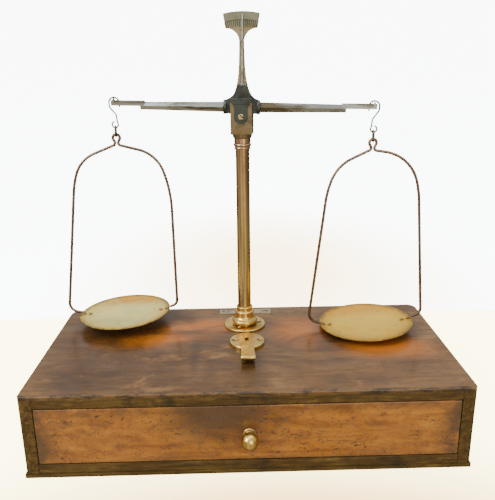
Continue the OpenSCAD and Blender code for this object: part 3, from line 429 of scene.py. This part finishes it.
# A brighter copy of the brass for the flange, collar, lever plate and lever: partly brass worn bright, partly
# a painted highlight standing for their brighter reflections.
BRIGHT_BRASS = tarnished(
    "handled_and_highlit_brass", (0.76, 0.52, 0.16), (0.40, 0.25, 0.06), (0.10, 0.06, 0.02), rough=(0.2, 0.4)
)
DARK_LINK = tarnished("dark_link", (0.20, 0.16, 0.09), (0.10, 0.08, 0.04), (0.03, 0.02, 0.01))
ARM_STEEL = tarnished(
    "stained_steel", (0.31, 0.325, 0.30), (0.11, 0.09, 0.055), (0.03, 0.03, 0.02),
    grain=(0.3, 1.5, 2.2), amount=(0.44, 0.60)
)
SIDE_WOOD = frame_wood("frame_wood_side", "Y")
# Nodes that look different from the rest of their slot in the photo.
SPECIAL = {
    "bottom_board": frame_wood("frame_wood_low", "X"),
    "column_flange": BRIGHT_BRASS,
    "base_collar": BRIGHT_BRASS,
    "lever_plate": BRIGHT_BRASS,
    "lift_lever": BRIGHT_BRASS,
    "rear_strip": tarnished(
        "dull_strip", (0.56, 0.48, 0.32), (0.26, 0.21, 0.12), (0.05, 0.04, 0.02), amount=(0.5, 0.62)
    ),
    "scale_tower": graduated_brass(),
    "column_tube": tube_brass(),
    "top_collar": tarnished(
        "coppery_collar", (0.46, 0.30, 0.18), (0.24, 0.15, 0.09), (0.06, 0.04, 0.02), rough=(0.16, 0.32)
    ),
    "cheek_screws": slotted_brass(),
    "needle": needle_steel(),
    "left_link": DARK_LINK,
    "right_link": DARK_LINK,
    "left_arm": ARM_STEEL,
    "right_arm": ARM_STEEL,
    "left_side": SIDE_WOOD,
    "right_side": SIDE_WOOD,
    "left_pan": pan_brass("pale_brass_left", "left_pan", (1.0, 0.92, 0.36), (0.84, 0.60, 0.14)),
    "right_pan": pan_brass("pale_brass_right", "right_pan", (0.94, 0.64, 0.10), (0.70, 0.40, 0.04)),
}


def paint_nodes():
    """Each node gets its own look, or else the one of its slot in the record."""
    slots = {part["node"]: part["material_slot"] for part in frame["record"]["subparts"]}
    for name, obj in NODES.items():
        obj.data.materials.clear()
        obj.data.materials.append(SPECIAL.get(name) or PAINTS[slots[name]])


# ---- Edges ----

EDGE_ROUNDING_MM = {
    "left_side": 0.8, "right_side": 0.8, "top_rail": 0.5, "bottom_rail": 0.5, "bottom_board": 0.7,
    "drawer_front": 0.7, "lift_lever": 0.3, "column_flange": 0.2, "lever_plate": 0.2, "rear_strip": 0.2,
    "head_block": 0.35, "front_cheek": 0.25, "rear_cheek": 0.25, "beam_center": 0.3, "left_arm": 0.25,
    "right_arm": 0.25, "left_pan": 0.2, "right_pan": 0.2,
}


WELD_REACH = 1e-6
SHARP_EDGE_DEG = 35


def round_edges():
    """Worn, rounded edges on the CAD nodes, as modifiers: the CAD meshes stay as they are."""
    for name, width in EDGE_ROUNDING_MM.items():
        weld = NODES[name].modifiers.new("weld", "WELD")
        weld.merge_threshold = WELD_REACH
        bevel = NODES[name].modifiers.new("worn_edges", "BEVEL")
        bevel.width = width * MM
        bevel.segments = 2
        bevel.limit_method = "ANGLE"
        bevel.angle_limit = math.radians(SHARP_EDGE_DEG)
        bevel.harden_normals = True


# ---- Stage ----

# The camera was worked out from the photo; yaw and pitch are its aim, and roll is in radians.
CAMERA_PLACE = Vector((-8.83, -462.63, 291.53)) * MM
CAMERA_YAW = math.radians(1.318)
CAMERA_PITCH = math.radians(16.64)
CAMERA_ROLL = -0.011
CAMERA_LENS = 42.06
SENSOR_WIDTH = 36
TABLE_BACK_Y = 0.225
TABLE_EDGE_BLUR = 0.004
STUDIO_RADIUS = 2.4
STUDIO_HEIGHT = 3.0
STUDIO_CURVE = 0.4
STUDIO_CURVE_STEPS = 8
STUDIO_SIDES = 64
STUDIO_GLOW = 9.0
ROOM_BRIGHTNESS = 0.95
SCALE_CENTRE = (0, 0, 0.1)


def make_camera():
    data = bpy.data.cameras.new("camera")
    data.lens = CAMERA_LENS
    data.sensor_width = SENSOR_WIDTH
    camera = bpy.data.objects.new("camera", data)
    bpy.context.scene.collection.objects.link(camera)
    ahead = Vector((
        math.sin(CAMERA_YAW) * math.cos(CAMERA_PITCH),
        math.cos(CAMERA_YAW) * math.cos(CAMERA_PITCH),
        -math.sin(CAMERA_PITCH),
    ))
    right = Vector((math.cos(CAMERA_YAW), -math.sin(CAMERA_YAW), 0))
    up = right.cross(ahead)
    level_right = right * math.cos(CAMERA_ROLL) + up * math.sin(CAMERA_ROLL)
    level_up = up * math.cos(CAMERA_ROLL) - right * math.sin(CAMERA_ROLL)
    turn = Matrix((level_right, level_up, -ahead)).transposed()
    camera.matrix_world = Matrix.Translation(CAMERA_PLACE) @ turn.to_4x4()
    bpy.context.scene.camera = camera


def make_stage():
    """A round white studio: a pale table top that runs on into a floor and a far wall.

    It glows softly by itself, and is left out of reflections, bounces and shadows, so that
    the room's light alone shapes the object.
    """
    profile = [(0.5, 0.0), (1.2, 0.0)]
    for i in range(STUDIO_CURVE_STEPS + 1):
        angle = math.radians(90 * i / STUDIO_CURVE_STEPS)
        profile.append((
            STUDIO_RADIUS - STUDIO_CURVE + STUDIO_CURVE * math.sin(angle),
            STUDIO_CURVE - STUDIO_CURVE * math.cos(angle),
        ))
    profile.append((STUDIO_RADIUS, STUDIO_HEIGHT))
    verts = [(0, 0, 0)]
    for radius, z in profile:
        for k in range(STUDIO_SIDES):
            turn = 2 * math.pi * k / STUDIO_SIDES
            verts.append((radius * math.cos(turn), radius * math.sin(turn), z))
    faces = [(0, 1 + k, 1 + (k + 1) % STUDIO_SIDES) for k in range(STUDIO_SIDES)]
    for row in range(len(profile) - 1):
        for k in range(STUDIO_SIDES):
            a = 1 + row * STUDIO_SIDES + k
            b = 1 + row * STUDIO_SIDES + (k + 1) % STUDIO_SIDES
            faces.append((a, a + STUDIO_SIDES, b + STUDIO_SIDES, b))
    mesh = bpy.data.meshes.new("stage")
    mesh.from_pydata(verts, [], faces)
    stage = bpy.data.objects.new("stage", mesh)
    bpy.context.scene.collection.objects.link(stage)
    p = Paint("stage_paint", roughness=0.85)
    front = p.blob((0.02, -0.20, 0), 0.30, 0.8, (0.8, 1.6, 1))
    table = p.mix(front, (0.95, 0.86, 0.45), (0.30, 0.12, 0.022))
    warm = p.blob((0.05, 0.40, 0), 0.55, 0.9, (1.5, 1, 1))
    beyond = p.mix(warm, (0.95, 1.0, 1.0), (0.72, 0.56, 0.32))
    past_table = p.span(p.axis("Y"), TABLE_BACK_Y - TABLE_EDGE_BLUR, TABLE_BACK_Y + TABLE_EDGE_BLUR)
    tone = p.mix(past_table, table, beyond)
    p.feed(p.shader.inputs["Emission Color"], tone)
    p.shader.inputs["Emission Strength"].default_value = STUDIO_GLOW
    stage.data.materials.append(p.finish(tone))
    for polygon in mesh.polygons:
        polygon.use_smooth = True
    stage.visible_glossy = False
    stage.visible_diffuse = False
    stage.visible_shadow = False


def area_light(name, place, size, power, target=SCALE_CENTRE):
    data = bpy.data.lights.new(name, "AREA")
    data.shape = "RECTANGLE"
    data.size, data.size_y = size
    data.energy = power
    light = bpy.data.objects.new(name, data)
    light.location = place
    light.rotation_euler = (Vector(target) - Vector(place)).to_track_quat("-Z", "Y").to_euler()
    bpy.context.scene.collection.objects.link(light)
    return light


def grey(*stops):
    """Stops for a ramp, given as (place, level)."""
    return tuple((place, (level, level, level)) for place, level in stops)


def make_room():
    """A room: an even bright ceiling, and round the walls windows and dark corners."""
    world = bpy.data.worlds.new("room")
    world.use_nodes = True
    room = Shading(world.node_tree, "Generated")
    up = room.ramp(
        room.axis("Z"),
        (0.0, (0.75, 0.62, 0.44)),
        (0.12, (0.60, 0.58, 0.54)),
        (0.45, (1.05, 1.04, 1.0)),
        (1.0, (1.1, 1.1, 1.1)),
    )
    bearing = room.math("ARCTAN2", room.axis("X"), room.math("MULTIPLY", room.axis("Y"), -1.0))
    around = room.ramp(room.span(bearing, -math.pi, math.pi, curve="LINEAR"), *grey(
        (0.0, 0.35), (0.18, 0.30), (0.28, 0.95), (0.37, 0.60), (0.44, 1.9), (0.49, 0.9), (0.52, 0.55),
        (0.57, 1.7), (0.64, 0.7), (0.74, 0.45), (0.84, 0.25), (1.0, 0.35)
    ))
    walls = room.mix(room.span(room.axis("Z"), 0.05, 0.40), around, (1.0, 1.0, 1.0))
    back = room.tree.nodes["Background"]
    room.feed(back.inputs["Color"], room.mix(1.0, up, walls, blend="MULTIPLY"))
    back.inputs["Strength"].default_value = ROOM_BRIGHTNESS
    bpy.context.scene.world = world


def make_lights():
    area_light("window", (-0.9, -0.55, 0.9), (0.7, 0.9), 18)
    back_room = area_light("back_room", (0.3, 1.5, 0.9), (1.2, 0.8), 6)
    back_room.visible_glossy = False  # or else it glares on the top board
    area_light("ceiling", (0.1, -0.1, 1.3), (1.2, 0.8), 7, target=(0, 0.05, 0.1))
    area_light("fill", (0.35, -1.3, 0.5), (0.6, 0.8), 7)


make_camera()
make_stage()
make_room()
make_lights()
paint_nodes()
round_edges()
